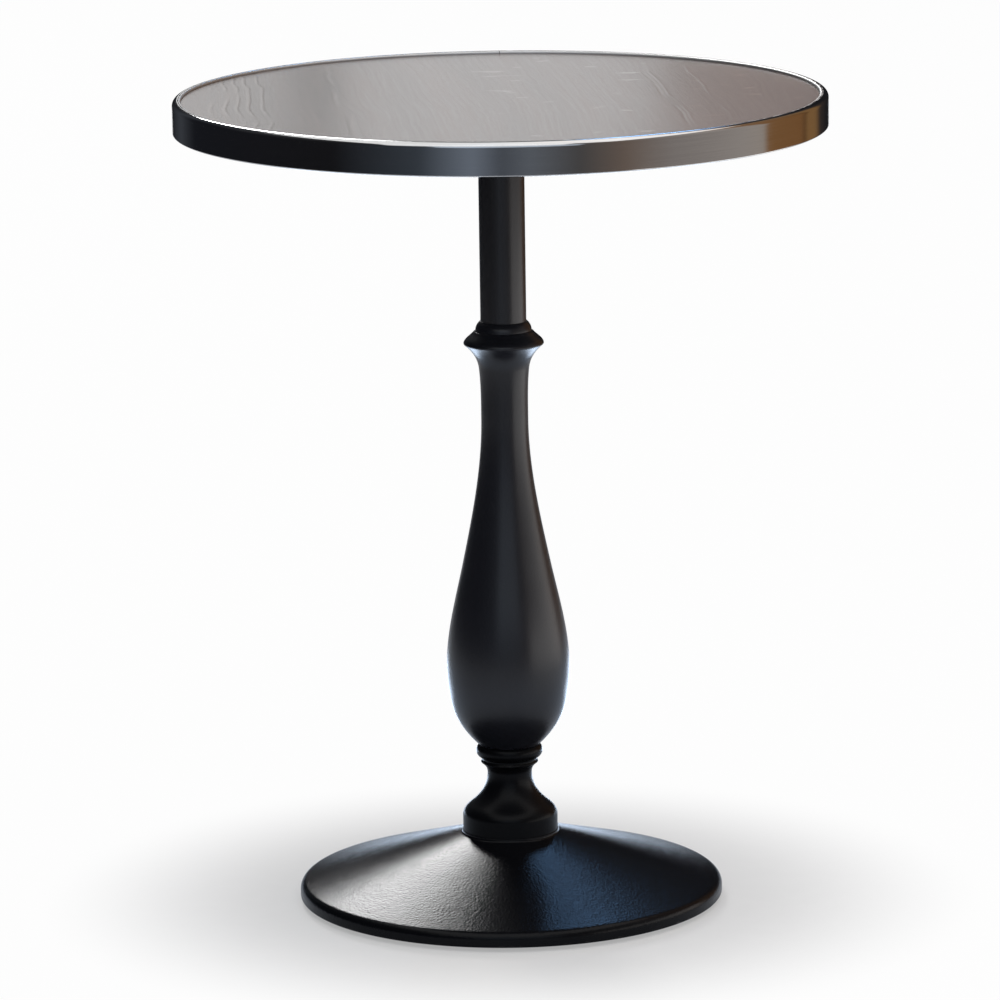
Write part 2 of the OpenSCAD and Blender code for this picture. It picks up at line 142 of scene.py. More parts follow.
def build_turning_tree():
    """Geometry Nodes: an outline, drawn beside the axis, is swept round it into a turned piece."""
    inputs = {"Outline": "Geometry", "Segments": "Int", "Finish": "Material"}
    tree, given, identifiers = new_shape_tree("Turned piece", inputs, "Piece")
    ring_r = 1.0
    place = axes_of(tree, node(tree, "GeometryNodeInputPosition").outputs[0])
    side = math_node(tree, "SUBTRACT", place[0], ring_r)
    drop = math_node(tree, "MULTIPLY", place[2], -1.0)
    flat = node(tree, "ShaderNodeCombineXYZ", {0: side, 1: drop}).outputs[0]
    curve = node(tree, "GeometryNodeMeshToCurve", {0: given["Outline"]}).outputs[0]
    section = node(tree, "GeometryNodeSetPosition", {0: curve, "Position": flat}).outputs[0]
    ring = node(tree, "GeometryNodeCurvePrimitiveCircle",
                {"Resolution": given["Segments"], "Radius": ring_r})
    upright = node(tree, "GeometryNodeSetCurveNormal", {0: ring.outputs[0]}, mode="Z_UP").outputs[0]
    swept = node(tree, "GeometryNodeCurveToMesh", {0: upright, 1: section}).outputs[0]
    closed = node(tree, "GeometryNodeMergeByDistance", {0: swept, "Distance": 1e-6}).outputs[0]
    smooth = node(tree, "GeometryNodeSetShadeSmooth", {0: closed}).outputs[0]
    end_shape_tree(tree, smooth, given["Finish"])
    return tree, identifiers


def grown(name, seed_mesh, tree, settings):
    """The plain mesh that a Geometry Nodes tree makes from a seed mesh, on an object of its own."""
    piece = bpy.data.objects.new(name, seed_mesh)
    bpy.context.collection.objects.link(piece)
    modifier = piece.modifiers.new(name, "NODES")
    modifier.node_group = tree
    for identifier, value in settings.items():
        modifier[identifier] = value
    mesh = bpy.data.meshes.new_from_object(piece.evaluated_get(bpy.context.evaluated_depsgraph_get()))
    piece.modifiers.clear()
    piece.data = mesh
    mesh.name = name
    return piece


turning_tree, turning_inputs = build_turning_tree()


def turned_piece(name, points, segments, finish):
    """A turned piece from its closed outline (radius, height, edge), in millimetres."""
    count = len(points)
    if turned_area(points) > 0:
        points = points[::-1]
    seed = bpy.data.meshes.new(name + "_outline")
    seed.from_pydata(
        [(radius * MM, 0, height * MM) for radius, height, edge in points],
        [(i, (i + 1) % count) for i in range(count)],
        [],
    )
    edges = seed.attributes.new("edge", "FLOAT", "POINT")
    edges.data.foreach_set("value", [edge for radius, height, edge in points])
    return grown(name, seed, turning_tree, {
        turning_inputs["Segments"]: segments,
        turning_inputs["Finish"]: finish,
    })


def shader_group(name, inputs, outputs):
    """An empty shader node group with named number inputs and outputs."""
    tree = bpy.data.node_groups.new(name, "ShaderNodeTree")
    for socket, value in inputs.items():
        made = tree.interface.new_socket(socket, in_out="INPUT", socket_type="NodeSocketFloat")
        made.default_value = value
    for socket in outputs:
        tree.interface.new_socket(socket, in_out="OUTPUT", socket_type="NodeSocketFloat")
    given = node(tree, "NodeGroupInput").outputs
    place = node(tree, "ShaderNodeTexCoord").outputs["Object"]
    return tree, given, place


SWELL_SHARE = 0.4

# Skin of a sand casting under enamel: peel of one grain size in Height, slow cloudiness in Cloud.
cast_skin, given, place = shader_group("Cast skin", {"Grain mm": 1.8}, ["Height", "Cloud"])
scale = math_node(cast_skin, "DIVIDE", 1000.0, given["Grain mm"])
peel = node(cast_skin, "ShaderNodeTexNoise",
            {"Vector": place, "Scale": scale, "Detail": 1.0, "Roughness": 0.4})
swell = node(cast_skin, "ShaderNodeTexNoise", {"Vector": place, "Scale": 60.0, "Detail": 1.0})
cloud = node(cast_skin, "ShaderNodeTexNoise", {"Vector": place, "Scale": 9.0, "Detail": 4.0})
node(cast_skin, "NodeGroupOutput", {
    "Height": math_node(cast_skin, "MULTIPLY_ADD", swell.outputs["Fac"], SWELL_SHARE, peel.outputs["Fac"]),
    "Cloud": cloud.outputs["Fac"],
})

# Enamel rubbed thin on the edges that stand out, in Mask.
edge_wear, given, place = shader_group("Edge wear", {"Amount": 0.5}, ["Mask"])
rub = node(edge_wear, "ShaderNodeTexNoise",
           {"Vector": place, "Scale": 90.0, "Detail": 5.0, "Roughness": 0.65})
edge = node(edge_wear, "ShaderNodeAttribute", attribute_name="edge").outputs["Fac"]
patchy = node(edge_wear, "ShaderNodeMapRange", {0: rub.outputs["Fac"], 1: 0.52, 2: 0.70}).outputs[0]
wear_and_highlight = math_node(edge_wear, "MULTIPLY", edge, patchy)
node(edge_wear, "NodeGroupOutput", {"Mask": math_node(edge_wear, "MULTIPLY", wear_and_highlight, given["Amount"])})


def group(tree, made, **values):
    """A shader group placed in a material, with that material's own values."""
    placed = node(tree, "ShaderNodeGroup", node_tree=made)
    for name, value in values.items():
        placed.inputs[name.replace("_", " ")].default_value = value
    return placed.outputs


def new_finish(name, **values):
    """A material and its Principled shader, with plain values set on the shader's sockets."""
    made = bpy.data.materials.new(name)
    made.use_nodes = True
    shader = made.node_tree.nodes["Principled BSDF"]
    for socket, value in values.items():
        shader.inputs[socket.replace("_", " ")].default_value = value
    return made, made.node_tree, shader.inputs


def feed(tree, value, socket):
    """A value that changes over the surface, led into a shader's socket."""
    tree.links.new(value, socket)


def feed_relief(tree, height, depth, shader):
    """A raised or sunk skin on a shader, with its depth in millimetres."""
    bump = node(tree, "ShaderNodeBump", {"Height": height, "Distance": depth * MM, "Strength": 1.0})
    feed(tree, bump.outputs[0], shader["Normal"])


def spread(tree, value, low, high):
    """The middle of a noise, where most of it lies, laid out between two values."""
    return node(tree, "ShaderNodeMapRange", {0: value, 1: 0.3, 2: 0.7, 3: low, 4: high}).outputs[0]


def colour_mix(tree, share, first, second):
    """The second colour over the first by a share from 0 to 1."""
    mixed = node(tree, "ShaderNodeMix", {"Factor": share}, data_type="RGBA")
    for socket, value in ((6, first), (7, second)):
        if isinstance(value, bpy.types.NodeSocket):
            tree.links.new(value, mixed.inputs[socket])
        else:
            mixed.inputs[socket].default_value = (*value, 1)
    return mixed.outputs[2]


BARE_IRON = (0.11, 0.105, 0.1)


def black_enamel(name, colour, gloss, sheen, grain, relief, wear):
    """Black enamel on iron or steel. Sheen is the roughness range; grain and relief are in millimetres."""
    made, tree, shader = new_finish(name, Specular_IOR_Level=gloss)
    skin = group(tree, cast_skin, Grain_mm=grain)
    wear_and_highlight = group(tree, edge_wear, Amount=wear)["Mask"]
    paler = tuple(1.5 * c for c in colour)
    clouded = colour_mix(tree, skin["Cloud"], colour, paler)
    feed(tree, colour_mix(tree, wear_and_highlight, clouded, BARE_IRON), shader["Base Color"])
    feed(tree, spread(tree, skin["Cloud"], *sheen), shader["Roughness"])
    feed_relief(tree, skin["Height"], relief, shader)
    return made


base_enamel = black_enamel("base_enamel", (0.0030, 0.0032, 0.0042), gloss=0.12, sheen=(0.21, 0.26),
                           grain=2.1, relief=0.19, wear=0.3)

SEAT = 65.2
SEAT_R = 44.5
ROD_BORE = 6.5
CONE_TOP = 62.6
CONE_FALL = math.tan(math.radians(16.69))
SHELL = 8.352
CEILING = 48.0
HUB_FOOT = 26.0
RIM_R = 197.5
RIM_INNER_R = 186.5
RIM_FOOT = 4.0
FOOT_CIRCLE = 155.0


def cone_height(radius):
    """Height of the cone's outer face."""
    return CONE_TOP - (radius - SEAT_R) * CONE_FALL


def cone_under(radius):
    """Height of the shell's inner face."""
    return min(CEILING, cone_height(radius) - SHELL)


base = turned_piece("base_casting", rounded_outline([
    (ROD_BORE, SEAT, 0.3), (SEAT_R, SEAT, 0), (SEAT_R, CONE_TOP, 2.6), (RIM_R, cone_height(RIM_R), 8.0),
    (RIM_R, RIM_FOOT, 2.0), (RIM_INNER_R, RIM_FOOT, 1.6), (RIM_INNER_R, cone_under(RIM_INNER_R), 5.0),
    (65.3, CEILING, 9.0), (30.5, CEILING, 6.0), (29.0, HUB_FOOT, 1.6), (ROD_BORE, HUB_FOOT, 0.4),
]), segments=288, finish=base_enamel)

RIB_START = 24.0
RIB_HALF = 4.0
RIB_FOOT = 16.0
RIB_EDGE = 1.5
RIB_STEPS = 24


def cast_rib(bm, turn):
    """A rib from the hub to a foot's boss, rounded below and spread into the shell above."""
    rings = []
    for k in range(RIB_STEPS + 1):
        radius = RIB_START + (FOOT_CIRCLE - RIB_START) * k / RIB_STEPS
        top = cone_under(radius)
        fillet = min(6.0, 0.6 * (top - RIB_FOOT))
        half = [(RIB_HALF + fillet + 1, top + 1.5)]
        half += [(RIB_HALF + fillet * (1 - math.sin(a)), top - fillet * (1 - math.cos(a)))
                 for a in (math.radians(15 * s) for s in range(7))]
        half += [(RIB_HALF - RIB_EDGE * (1 - math.cos(a)), RIB_FOOT + RIB_EDGE - RIB_EDGE * math.sin(a))
                 for a in (math.radians(18 * s) for s in range(6))]
        section = [(-y, z) for y, z in half] + [(y, z) for y, z in reversed(half)]
        rings.append([bm.verts.new(turn @ Vector((radius * MM, y * MM, z * MM))) for y, z in section])
    for inner, outer in zip(rings, rings[1:]):
        for i in range(len(inner)):
            bm.faces.new((inner[i - 1], inner[i], outer[i], outer[i - 1]))
    bm.faces.new(rings[0])
    bm.faces.new(reversed(rings[-1]))


FEET = range(1, 5)


def quarter_turn(i):
    """The turn to foot i, 1 to 4, which stand between the quarter lines."""
    return Matrix.Rotation(math.radians(90 * i - 45), 4, "Z")


def foot_place(i):
    """From the table's axis to the axis of foot i."""
    return quarter_turn(i) @ Matrix.Translation((FOOT_CIRCLE * MM, 0, 0))


bm = bmesh.new()
for i in FEET:
    cast_rib(bm, quarter_turn(i).to_3x3())
bmesh.ops.recalc_face_normals(bm, faces=bm.faces)
for face in bm.faces:
    face.smooth = True
BOSS_BORE = 4.1
BOSS_FOOT = 10.35
boss = turned_piece("foot_boss", rounded_outline([
    (BOSS_BORE, 11.0, 0), (4.7, BOSS_FOOT, 0.2), (11.0, BOSS_FOOT, 1.4), (11.7, 17.5, 5.0),
    (20.0, 19.0, 1.0), (BOSS_BORE, 21.5, 0),
]), segments=72, finish=base_enamel)
for i in FEET:
    copy = boss.data.copy()
    copy.transform(foot_place(i))
    bm.from_mesh(copy)
bm.from_mesh(base.data)
bm.to_mesh(base.data)
bm.free()
bpy.data.objects.remove(boss)
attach(base, "table")
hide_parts("pedestal_base")


# Levelling feet
# Four moulded nylon pads, each carried on a zinc-plated stud that screws up into its boss. The hexagon
# takes a spanner; the stud turns in the pad's socket.

STUD_PITCH = 1.25
NYLON_DARK, NYLON_PALE = (0.018, 0.018, 0.019), (0.034, 0.034, 0.035)
ZINC_DARK, ZINC_PALE = (0.50, 0.51, 0.53), (0.66, 0.655, 0.63)
nylon, tree, shader = new_finish("foot_nylon", Specular_IOR_Level=0.4)
skin = group(tree, cast_skin, Grain_mm=0.5)
feed(tree, colour_mix(tree, skin["Cloud"], NYLON_DARK, NYLON_PALE), shader["Base Color"])
feed(tree, spread(tree, skin["Height"], 0.42, 0.6), shader["Roughness"])
feed_relief(tree, skin["Height"], 0.02, shader)

# Bright zinc: a faint spangle in the tone and dull patches in the sheen.
zinc, tree, shader = new_finish("bright_zinc", Metallic=1.0)
skin = group(tree, cast_skin, Grain_mm=0.35)
feed(tree, colour_mix(tree, skin["Cloud"], ZINC_DARK, ZINC_PALE), shader["Base Color"])
feed(tree, spread(tree, skin["Height"], 0.29, 0.44), shader["Roughness"])
feed_relief(tree, skin["Height"], 0.006, shader)

THREAD_COLUMNS = 48
THREAD_ROWS_A_TURN = 12


def build_thread_tree():
    """Geometry Nodes: a rod with a screw thread, rolled from a sheet, from z = 0 up to a chamfered end."""
    inputs = {"Radius": "Float", "Depth": "Float", "Pitch": "Float", "Length": "Float", "Rows": "Int",
              "Finish": "Material"}
    tree, given, identifiers = new_shape_tree("Screw thread", inputs, "Piece")
    sheet = node(tree, "GeometryNodeMeshGrid", {
        "Size X": 1.0, "Size Y": 1.0, "Vertices X": THREAD_COLUMNS + 1, "Vertices Y": given["Rows"],
    })
    place = axes_of(tree, node(tree, "GeometryNodeInputPosition").outputs[0])
    round_share = math_node(tree, "ADD", place[0], 0.5)
    up_share = math_node(tree, "ADD", place[1], 0.5)
    angle = math_node(tree, "MULTIPLY", round_share, 2 * math.pi)
    height = math_node(tree, "MULTIPLY", up_share, given["Length"])
    turns = math_node(tree, "SUBTRACT", math_node(tree, "DIVIDE", height, given["Pitch"]), round_share)
    flank = math_node(tree, "PINGPONG", turns, 0.5)
    ridge = node(tree, "ShaderNodeMapRange", {0: flank, 1: 0.08, 2: 0.42}).outputs[0]
    root = math_node(tree, "SUBTRACT", given["Radius"], given["Depth"])
    crest = math_node(tree, "MULTIPLY_ADD", ridge, given["Depth"], root)
    left = math_node(tree, "SUBTRACT", given["Length"], height)
    end = math_node(tree, "ADD", root, math_node(tree, "SUBTRACT", left, given["Depth"]))
    inside = math_node(tree, "LESS_THAN", math_node(tree, "ABSOLUTE", place[1]), 0.4999)
    radius = math_node(tree, "MULTIPLY", math_node(tree, "MINIMUM", crest, end), inside)
    spot = node(tree, "ShaderNodeCombineXYZ", {
        0: math_node(tree, "MULTIPLY", radius, math_node(tree, "COSINE", angle)),
        1: math_node(tree, "MULTIPLY", radius, math_node(tree, "SINE", angle)),
        2: height,
    }).outputs[0]
    rolled = node(tree, "GeometryNodeSetPosition", {0: sheet.outputs[0], "Position": spot}).outputs[0]
    closed = node(tree, "GeometryNodeMergeByDistance", {0: rolled, "Distance": 2e-6}).outputs[0]
    smooth = node(tree, "GeometryNodeSetShadeSmooth", {0: closed}).outputs[0]
    end_shape_tree(tree, smooth, given["Finish"])
    return tree, identifiers


thread_tree, thread_inputs = build_thread_tree()


def threaded_rod(name, radius, depth, pitch, length, finish):
    """A length of threaded rod that stands on z = 0, in millimetres."""
    sizes = {"Radius": radius * MM, "Depth": depth * MM, "Pitch": pitch * MM, "Length": length * MM}
    sizes["Rows"] = round(length / pitch * THREAD_ROWS_A_TURN)
    sizes["Finish"] = finish
    settings = {thread_inputs[size]: value for size, value in sizes.items()}
    return grown(name, bpy.data.meshes.new(name), thread_tree, settings)


HEXAGON_STEPS = 96
HEXAGON_CHAMFER = math.tan(math.radians(30))
MOUTH_CHAMFER = 0.5


def hexagon(width, low, high, bore):
    """Mesh of a hexagon with turned corners, in millimetres, with a hole where bore is more than 0."""
    bm = bmesh.new()
    apothem = width / 2
    face_r = 0.96 * apothem
    rings = []
    for step in range(HEXAGON_STEPS):
        angle = math.radians(step * 360 / HEXAGON_STEPS)
        reach = apothem / math.cos((angle + math.pi / 6) % (math.pi / 3) - math.pi / 6)
        cut = (reach - face_r) * HEXAGON_CHAMFER
        section = [(face_r, low), (reach, low + cut), (reach, high - cut), (face_r, high)]
        if bore > 0:
            section += [(bore + MOUTH_CHAMFER, high), (bore, high - MOUTH_CHAMFER),
                        (bore, low + MOUTH_CHAMFER), (bore + MOUTH_CHAMFER, low)]
        rings.append([bm.verts.new((r * math.cos(angle) * MM, r * math.sin(angle) * MM, z * MM))
                      for r, z in section])
    for here, after in zip(rings, rings[1:] + rings[:1]):
        for i in range(0 if bore > 0 else 1, len(here)):
            bm.faces.new((here[i - 1], after[i - 1], after[i], here[i]))
    if bore <= 0:
        bm.faces.new([ring[0] for ring in reversed(rings)])
        bm.faces.new([ring[3] for ring in rings])
    bmesh.ops.recalc_face_normals(bm, faces=bm.faces)
    mesh = bpy.data.meshes.new("hexagon")
    bm.to_mesh(mesh)
    bm.free()
    mesh.shade_smooth()
    mesh.set_sharp_from_angle(angle=math.radians(25))
    return mesh


def joined(name, meshes, finish):
    """One object with the given meshes in it and one finish."""
    bm = bmesh.new()
    for mesh in meshes:
        bm.from_mesh(mesh)
    bmesh.ops.delete(bm, geom=[edge for edge in bm.edges if edge.is_wire], context="EDGES")
    whole = bpy.data.meshes.new(name)
    bm.to_mesh(whole)
    bm.free()
    whole.materials.append(finish)
    piece = bpy.data.objects.new(name, whole)
    bpy.context.collection.objects.link(piece)
    return piece


def taken(piece, place=None):
    """The mesh of a helper object, moved by a matrix, and the object removed."""
    mesh = piece.data
    bpy.data.objects.remove(piece)
    if place is not None:
        mesh.transform(place)
    return mesh


PAD_R = 16.0
PAD_TOP = 6.0
SOCKET_R = 5.1
SOCKET_FLOOR = 2.0
NECK_R = 5.0
NECK_FOOT = 2.05
NECK_TOP = 6.3
THREAD_FOOT = 9.85
pad = taken(turned_piece("pad_shape", rounded_outline([
    (0.0, 0.0, 0), (PAD_R, 0.0, 1.0), (PAD_R, 3.0, 0.8), (9.4, 4.0, 1.2), (8.5, PAD_TOP, 0.5),
    (SOCKET_R, PAD_TOP, 0.2), (SOCKET_R, SOCKET_FLOOR, 0.2), (0.0, SOCKET_FLOOR, 0),
]), segments=96, finish=nylon))
stud_neck = taken(turned_piece("neck_shape", rounded_outline([
    (0.0, NECK_FOOT, 0), (NECK_R, NECK_FOOT, 0.3), (NECK_R, NECK_TOP, 0), (0.0, NECK_TOP, 0),
]), segments=64, finish=zinc))
stud_hex = hexagon(width=13.0, low=6.05, high=10.05, bore=0)
stud_rod = threaded_rod("stud_shape", radius=4.0, depth=0.7, pitch=STUD_PITCH, length=13.2, finish=zinc)
stud_thread = taken(stud_rod, Matrix.Translation((0, 0, THREAD_FOOT * MM)))
for i in FEET:
    foot_pad = joined(f"levelling_pad_{i}", [pad], nylon)
    foot_stud = joined(f"levelling_stud_{i}", [stud_neck, stud_hex, stud_thread], zinc)
    for piece, body, cad, slot in (
        (foot_pad, f"foot_{i}", f"foot_pad_{i}", "foot_plastic"),
        (foot_stud, f"stud_{i}", f"foot_stud_{i}", "zinc_steel"),
    ):
        piece.data.transform(foot_place(i))
        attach(piece, body)
        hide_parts(cad)


# Spool
# A short turned casting on the base: upright plinth, round shoulder, hollow waist, sharp fillet and a
# half-round ring that the baluster stands on. Iron, machined smoother than the base. Its enamel is darker
# and less shiny than the column's, as painted shade on this low part.

# A darker, less shiny copy of the black enamel: painted shade on the low part of the column.
shaded_spool_enamel = black_enamel("shaded_spool_enamel", (0.0028, 0.0030, 0.0038), gloss=0.09, sheen=(0.28, 0.34),
                            grain=1.6, relief=0.05, wear=0.3)


def swept_curve(stations, steps=24):
    """Points (radius, height, 0) of a smooth turning through stations (height, radius, slope)."""
    points = []
    for low, high in zip(stations, stations[1:]):
        rise = high[0] - low[0]
        for k in range(steps + 1):
            t = k / steps
            radius = ((2 * t**3 - 3 * t**2 + 1) * low[1] + (t**3 - 2 * t**2 + t) * rise * low[2]
                      + (3 * t**2 - 2 * t**3) * high[1] + (t**3 - t**2) * rise * high[2])
            if k or not points:
                points.append((radius, low[0] + t * rise, 0.0))
    return points


def raised(points, height):
    """An outline lifted by a height."""
    return [(radius, z + height, edge) for radius, z, edge in points]


def arc(radius, height, section, start, end, steps=28):
    """Points of a round moulding: section radius about (radius, height), between two angles in degrees."""
    angles = [math.radians(start + (end - start) * k / steps) for k in range(steps + 1)]
    return [(radius + section * math.cos(a), height + section * math.sin(a), 0.0) for a in angles]


SPOOL_H = 81.8
SPOOL_BORE = 12.0
PLINTH_R = 44.2
SHOULDER_FALL = -math.tan(math.radians(52))
plinth = [(43.9, 0.0, 0.0), (44.1, 0.1, 0.0), (PLINTH_R, 0.3, 0.0), (PLINTH_R, 0.8, 0.0),
          (PLINTH_R, 13.4, 0.0)]
waist = swept_curve([(14.3, PLINTH_R, 0), (25.1, 37.2, SHOULDER_FALL), (55.0, 20.7, 0), (64.5, 26.6, 1.4)])
fillet = [(26.75, 64.75, 1.0), (26.7, 65.1, 1.0), (26.5, 65.4, 1.0), (25.7, 66.3, 0.0), (25.42, 66.8, 0.0),
          (25.4, 67.4, 0.0), (25.4, 68.2, 0.0)]
ring = arc(radius=23.8, height=SPOOL_H - 6.0, section=7.2, start=-76, end=56.44)
seat_and_bore = [(26.9, SPOOL_H, 0.0), (SPOOL_BORE, SPOOL_H, 0.0), (SPOOL_BORE, 0.0, 0.0)]
spool_outline = plinth + waist + fillet + ring + seat_and_bore
spool = turned_piece("spool_casting", raised(spool_outline, SEAT), segments=192, finish=shaded_spool_enamel)
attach(spool, "table")
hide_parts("spool")


# Baluster
# The vase of the pedestal, one hollow iron casting: a bulb low down, a long taper, a thin neck and a
# flared cup that takes the pole. Dressed smooth and sprayed satin black.

column_enamel = black_enamel("column_enamel", (0.0090, 0.0095, 0.0130), gloss=0.46, sheen=(0.28, 0.33),
                             grain=1.6, relief=0.05, wear=0.3)
BALUSTER_FOOT = 147.0
BALUSTER_H = 379.0
POLE_SOCKET_R = 21.4
POLE_SOCKET_FLOOR = 365.0
CORE_R = 15.8
FOOT_LEAN = math.tan(math.radians(47))
TAPER_LEAN = -math.tan(math.radians(12))
bulb_to_cup = swept_curve([
    (0.4, 28.6, FOOT_LEAN), (75, 57.2, 0), (172, 41.0, TAPER_LEAN), (308, 21.8, 0), (356, 23.2, 0.106),
    (378.8, 36.55, 1.22),
], steps=32)
cup_edge = [(36.65, 378.93, 0.8), (36.55, BALUSTER_H, 0.8), (36.0, BALUSTER_H, 0.0)]
pole_socket = [(POLE_SOCKET_R, BALUSTER_H, 0.0), (POLE_SOCKET_R, POLE_SOCKET_FLOOR, 0.0)]
hollow = [(CORE_R, POLE_SOCKET_FLOOR, 0.0), (CORE_R, 308.0, 0.0), (CORE_R, 20.0, 0.0), (ROD_BORE, 12.0, 0.0),
          (ROD_BORE, 0.0, 0.0)]
baluster_outline = [(27.6, 0.0, 0.0), (28.2, 0.15, 0.6)] + bulb_to_cup + cup_edge + pole_socket + hollow
baluster = turned_piece("baluster_casting", raised(baluster_outline, BALUSTER_FOOT), segments=224,
                        finish=column_enamel)
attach(baluster, "table")
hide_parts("baluster")


# Collar
# A moulded iron ring slid down the pole on to the baluster's cup, where it hides the joint: a sloping
# flange with a round edge, a step, and a bead that feathers out against the pole.

CUP = 526.0
COLLAR_BORE = 21.4
flange = ([(36.2, 0.0, 0.0), (36.6, 0.03, 0.0), (36.85, 0.15, 0.6)]
          + swept_curve([(0.3, 36.95, 0.5), (0.9, 37.1, 0), (11.5, 27.9, -0.83)], steps=28))
step = [(27.5, 11.9, 0.0), (26.8, 12.3, 0.0), (26.2, 12.6, 0.0)]
bead = swept_curve([(12.9, 26.0, 0.0), (21.3, 22.05, -1.05)], steps=20)
feathered_edge = [(21.7, 21.4, 0.5), (COLLAR_BORE, 21.3, 0.0), (COLLAR_BORE, 0.0, 0.0)]
collar_outline = flange + step + bead + feathered_edge
collar = turned_piece("pole_collar_ring", raised(collar_outline, CUP), segments=192, finish=column_enamel)
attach(collar, "table")
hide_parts("pole_collar")


# Pole
# Drawn steel tube, cut square, standing in the baluster's cup with the spider's plug in its upper end.
# Sprayed black as the column is, a little glossier on the drawn tube's smoother skin.

tube_enamel = black_enamel("tube_enamel", (0.0078, 0.0077, 0.0104), gloss=0.6, sheen=(0.28, 0.34),
                           grain=1.4, relief=0.04, wear=0.2)
POLE_R = 21.2
POLE_BORE = 18.6
POLE_FOOT = 512.0
POLE_TOP = 706.0
pole = turned_piece("pole", rounded_outline([
    (POLE_BORE, POLE_FOOT, 0.3), (POLE_R, POLE_FOOT, 0.3),
    (POLE_R, POLE_TOP, 0.3), (POLE_BORE, POLE_TOP, 0.3),
]), segments=160, finish=tube_enamel)
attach(pole, "table")
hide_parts("pole_tube")


# Tie rod
# A threaded steel rod that clamps the base, spool, baluster, pole and spider together, with a nut and a
# washer at each end: one under the base's hub, one sunk in the spider's hub. Zinc-plated.

ROD_FOOT = 11.5
ROD_TOP = 728.5
ROD_THREAD = 24.0
SHANK_R = 5.6
SHANK_FOOT = ROD_FOOT + 23
upside_down = Matrix.Rotation(math.pi, 4, "X") @ Matrix.Translation((0, 0, -ROD_THREAD * MM))
rod_low = taken(threaded_rod("rod_end", radius=6.0, depth=1.0, pitch=1.75, length=ROD_THREAD, finish=zinc),
                Matrix.Translation((0, 0, ROD_FOOT * MM)) @ upside_down)
rod_shank = taken(turned_piece("rod_shank", rounded_outline([
    (0.0, SHANK_FOOT, 0), (SHANK_R, SHANK_FOOT, 0.5), (SHANK_R, ROD_TOP, 0.5), (0.0, ROD_TOP, 0),
]), segments=48, finish=zinc))
tie_rod = joined("tie_rod_threaded", [rod_low, rod_shank], zinc)
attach(tie_rod, "table")
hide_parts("tie_rod")

WASHER_H = 2.5
NUT_WIDTH = 19.0
NUT_H = 10.0
NUT_BORE = 6.05
for name, washer_foot, washer_r, nut_foot in (("base", 23.5, 18.5, 13.5), ("top", 714.0, 12.0, 716.5)):
    washer_top = washer_foot + WASHER_H
    washer = turned_piece(f"{name}_flat_washer", rounded_outline([
        (ROD_BORE, washer_foot, 0.3), (washer_r, washer_foot, 0.5), (washer_r, washer_top, 0.5),
        (ROD_BORE, washer_top, 0.3),
    ]), segments=96, finish=zinc)
    nut = joined(f"{name}_hexagon_nut", [hexagon(NUT_WIDTH, nut_foot, nut_foot + NUT_H, NUT_BORE)], zinc)
    for piece, cad in ((washer, f"{name}_washer"), (nut, f"{name}_nut")):
        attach(piece, "table")
        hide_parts(cad)


# Spider
# A cast-iron cross under the top: a hub with a plug that centres it in the pole, four tapered arms and a
# gusset under each, with the edges softened as in a casting. Painted a dull black.

CAST_EDGE = 0.9
spider_enamel = black_enamel("spider_enamel", (0.011, 0.011, 0.012), gloss=0.3, sheen=(0.36, 0.5),
                             grain=1.6, relief=0.05, wear=0.0)
spider_mesh = nodes["top_spider"].data.copy()
bm = bmesh.new()
bm.from_mesh(spider_mesh)
bmesh.ops.remove_doubles(bm, verts=bm.verts, dist=1e-6)
bmesh.ops.dissolve_limit(bm, angle_limit=math.radians(1.0), verts=bm.verts, edges=bm.edges)
bm.to_mesh(spider_mesh)
bm.free()
spider = bpy.data.objects.new("top_spider_casting", spider_mesh)
bpy.context.collection.objects.link(spider)
softened = spider.modifiers.new("cast_edges", "BEVEL")
softened.width = CAST_EDGE * MM
softened.segments = 3
softened.limit_method = "ANGLE"
softened.angle_limit = math.radians(35)
spider_mesh.materials.clear()
spider_mesh.materials.append(spider_enamel)
plain = bpy.data.meshes.new_from_object(spider.evaluated_get(bpy.context.evaluated_depsgraph_get()))
spider.modifiers.clear()
spider.data = plain
plain.shade_smooth()
plain.set_sharp_from_angle(angle=math.radians(40))
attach(spider, "table")
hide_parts("top_spider")


# Wood screws
# Eight zinc-plated screws, two on each arm, driven up through the spider into the board: a domed head with
# a cross recess, and a plain shank. Each is left at the turn it was driven to.

def build_screw_tree():
    """Geometry Nodes: two places on an arm repeat round the axis, each with a screw turned at random."""
    inputs = {"Screw": "Geometry", "Arms": "Int", "Inner": "Float", "Pitch": "Float", "Height": "Float",
              "Seed": "Int", "Finish": "Material"}
    tree, given, identifiers = new_shape_tree("Screws on the arms", inputs, "Screws")
    start = node(tree, "ShaderNodeCombineXYZ", {0: given["Inner"], 2: given["Height"]}).outputs[0]
    apart = node(tree, "ShaderNodeCombineXYZ", {0: given["Pitch"]}).outputs[0]
    places = node(tree, "GeometryNodeMeshLine",
                  {"Count": 2, "Start Location": start, "Offset": apart}).outputs[0]
    hub = node(tree, "GeometryNodePoints", {"Count": given["Arms"]}).outputs[0]
    index = node(tree, "GeometryNodeInputIndex").outputs[0]
    step = math_node(tree, "DIVIDE", 2 * math.pi, given["Arms"])
    turn = node(tree, "ShaderNodeCombineXYZ", {2: math_node(tree, "MULTIPLY", index, step)}).outputs[0]
    arms = node(tree, "GeometryNodeInstanceOnPoints",
                {0: hub, "Instance": places, "Rotation": turn}).outputs[0]
    holes = node(tree, "GeometryNodeRealizeInstances", {0: arms}).outputs[0]
    driven = node(tree, "FunctionNodeRandomValue", {2: 0.0, 3: 2 * math.pi, "Seed": given["Seed"]},
                  data_type="FLOAT")
    slant = node(tree, "ShaderNodeCombineXYZ", {2: driven.outputs[1]}).outputs[0]
    screws = node(tree, "GeometryNodeInstanceOnPoints",
                  {0: holes, "Instance": given["Screw"], "Rotation": slant}).outputs[0]
    end_shape_tree(tree, screws, given["Finish"])
    return tree, identifiers


